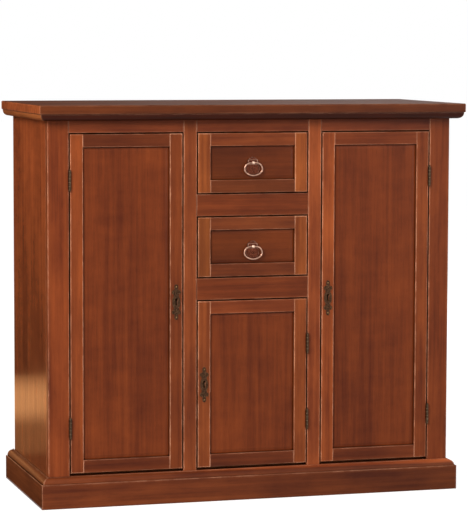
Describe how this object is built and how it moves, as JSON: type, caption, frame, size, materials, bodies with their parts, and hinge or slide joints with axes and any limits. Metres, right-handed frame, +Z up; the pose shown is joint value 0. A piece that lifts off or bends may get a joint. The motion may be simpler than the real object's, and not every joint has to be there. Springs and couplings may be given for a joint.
{
  "type": "sideboard",
  "caption": "Floor-standing wooden sideboard: framed and panelled doors with keyhole escutcheons, ring-pull drawers, moulded top and plinth.",
  "frame": {"origin": "centre of the footprint on the floor", "axes": "+Z up, +X to the right of someone facing the doors, the doors and drawers face -Y"},
  "size_m": [1.188, 0.524, 1.071],
  "materials": {
    "frame_wood": "reddish-brown stained cherry, satin lacquer",
    "panel_wood": "darker stained cherry veneer, satin lacquer",
    "inner_wood": "stained wood, thin matt lacquer",
    "drawer_wood": "plain pale wood, sanded",
    "back_board": "stained fibreboard, matt",
    "antique_brass": "rubbed antique brass",
    "dark_bronze": "dark aged bronze, worn on the high places",
    "steel": "plain zinc-plated steel"
  },
  "bodies": {
    "carcass": {"top_board": "frame_wood", "top_moulding_front": "frame_wood", "top_moulding_sides": "frame_wood", "side_left": "panel_wood", "side_right": "panel_wood", "partitions": "inner_wood", "bottom_board": "inner_wood", "back_panel": "back_board", "corner_posts": "frame_wood", "middle_posts": "frame_wood", "top_rails": "frame_wood", "drawer_rails": "frame_wood", "bottom_rails": "frame_wood", "plinth_front": "frame_wood", "plinth_sides": "frame_wood", "back_foot_rail": "inner_wood", "corner_blocks": "inner_wood", "shelves": "inner_wood", "shelf_pins": "steel", "drawer_runners": "inner_wood", "hinge_frame_leaves": "dark_bronze", "hinge_pins": "dark_bronze", "lock_keepers": "steel"},
    "left_door": {"left_door_stiles": "frame_wood", "left_door_rails": "frame_wood", "left_door_panel": "panel_wood", "left_door_hinge_leaves": "dark_bronze", "left_door_lock_case": "steel", "left_door_escutcheon": "dark_bronze"},
    "left_door_bolt": {"left_door_lock_bolt": "steel"},
    "middle_door": {"middle_door_stiles": "frame_wood", "middle_door_rails": "frame_wood", "middle_door_panel": "panel_wood", "middle_door_hinge_leaves": "dark_bronze", "middle_door_lock_case": "steel", "middle_door_escutcheon": "dark_bronze"},
    "middle_door_bolt": {"middle_door_lock_bolt": "steel"},
    "right_door": {"right_door_stiles": "frame_wood", "right_door_rails": "frame_wood", "right_door_panel": "panel_wood", "right_door_hinge_leaves": "dark_bronze", "right_door_lock_case": "steel", "right_door_escutcheon": "dark_bronze"},
    "right_door_bolt": {"right_door_lock_bolt": "steel"},
    "upper_drawer": {"upper_drawer_front_stiles": "frame_wood", "upper_drawer_front_rails": "frame_wood", "upper_drawer_front_panel": "panel_wood", "upper_drawer_sides": "drawer_wood", "upper_drawer_back": "drawer_wood", "upper_drawer_bottom": "drawer_wood", "upper_drawer_pull_plate": "antique_brass"},
    "upper_drawer_ring": {"upper_drawer_pull_ring": "antique_brass"},
    "lower_drawer": {"lower_drawer_front_stiles": "frame_wood", "lower_drawer_front_rails": "frame_wood", "lower_drawer_front_panel": "panel_wood", "lower_drawer_sides": "drawer_wood", "lower_drawer_back": "drawer_wood", "lower_drawer_bottom": "drawer_wood", "lower_drawer_pull_plate": "antique_brass"},
    "lower_drawer_ring": {"lower_drawer_pull_ring": "antique_brass"}
  },
  "joints": [
    {"name": "left_door_swing", "type": "hinge", "parent": "carcass", "child": "left_door", "pos_m": [-0.5055, -0.22065, 0.542], "axis": [0, 0, -1], "range_deg": [0, 165]},
    {"name": "left_door_bolt_throw", "type": "slide", "parent": "left_door", "child": "left_door_bolt", "axis": [1, 0, 0], "range_m": [0, 0.008]},
    {"name": "middle_door_swing", "type": "hinge", "parent": "carcass", "child": "middle_door", "pos_m": [0.15517, -0.22065, 0.316], "axis": [0, 0, 1], "range_deg": [0, 165]},
    {"name": "middle_door_bolt_throw", "type": "slide", "parent": "middle_door", "child": "middle_door_bolt", "axis": [-1, 0, 0], "range_m": [0, 0.008]},
    {"name": "right_door_swing", "type": "hinge", "parent": "carcass", "child": "right_door", "pos_m": [0.5055, -0.22065, 0.542], "axis": [0, 0, 1], "range_deg": [0, 165]},
    {"name": "right_door_bolt_throw", "type": "slide", "parent": "right_door", "child": "right_door_bolt", "axis": [-1, 0, 0], "range_m": [0, 0.008]},
    {"name": "upper_drawer_slide", "type": "slide", "parent": "carcass", "child": "upper_drawer", "axis": [0, -1, 0], "range_m": [0, 0.25]},
    {"name": "upper_drawer_ring_swing", "type": "hinge", "parent": "upper_drawer", "child": "upper_drawer_ring", "pos_m": [0, -0.22, 0.9135], "axis": [-1, 0, 0], "range_deg": [-6, 85]},
    {"name": "lower_drawer_slide", "type": "slide", "parent": "carcass", "child": "lower_drawer", "axis": [0, -1, 0], "range_m": [0, 0.25]},
    {"name": "lower_drawer_ring_swing", "type": "hinge", "parent": "lower_drawer", "child": "lower_drawer_ring", "pos_m": [0, -0.22, 0.6875], "axis": [-1, 0, 0], "range_deg": [-6, 85]}
  ]
}
